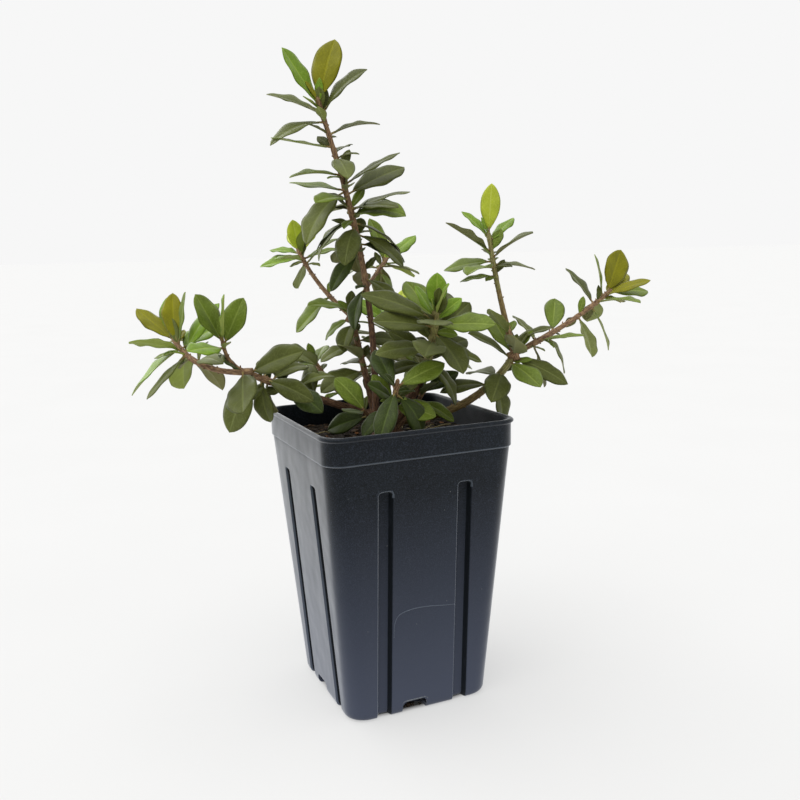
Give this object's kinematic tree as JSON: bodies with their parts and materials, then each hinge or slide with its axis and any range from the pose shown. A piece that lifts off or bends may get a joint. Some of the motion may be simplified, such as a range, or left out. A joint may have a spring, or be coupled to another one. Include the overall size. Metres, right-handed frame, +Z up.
{
  "type": "potted azalea shrub",
  "caption": "Young azalea shrub with slender woody shoots and whorls of narrow leaves, growing from potting mix in a deep square nursery pot",
  "frame": {"origin": "centre of the pot's flat underside, on the surface that the pot stands on", "axes": "+Z is up along the pot; -Y is the way the pot's front face looks; +X is to the right seen from that front"},
  "size_m": [0.2966, 0.153, 0.354],
  "materials": {
    "pot_plastic": "injection-moulded polypropylene, dark blue-grey with a satin sheen",
    "potting_mix": "moist bark and peat potting mix, dark brown and rough",
    "bark": "thin red-brown bark, finely cracked",
    "foliage": "thin leathery leaves, dark green with olive and lime young tips"
  },
  "bodies": {
    "root": {"pot": "pot_plastic", "potting_mix": "potting_mix", "trunk": "bark", "leader_stem": "bark", "second_stem": "bark", "middle_stem": "bark", "left_branch": "bark", "right_branch": "bark", "front_stem": "bark", "back_stem": "bark", "back_left_stem": "bark", "back_right_stem": "bark", "upright_stem": "bark", "leader_lower_foliage": "foliage", "leader_top_foliage": "foliage", "second_foliage": "foliage", "left_fork_foliage": "foliage", "back_fork_foliage": "foliage", "middle_foliage": "foliage", "left_inner_foliage": "foliage", "left_outer_foliage": "foliage", "left_side_foliage": "foliage", "right_fork_foliage": "foliage", "upright_lower_foliage": "foliage", "upright_foliage": "foliage", "outer_lower_foliage": "foliage", "outer_foliage": "foliage", "front_foliage": "foliage", "back_foliage": "foliage", "back_left_foliage": "foliage", "back_right_foliage": "foliage", "low_right_foliage": "foliage", "low_left_foliage": "foliage"}
  },
  "joints": []
}
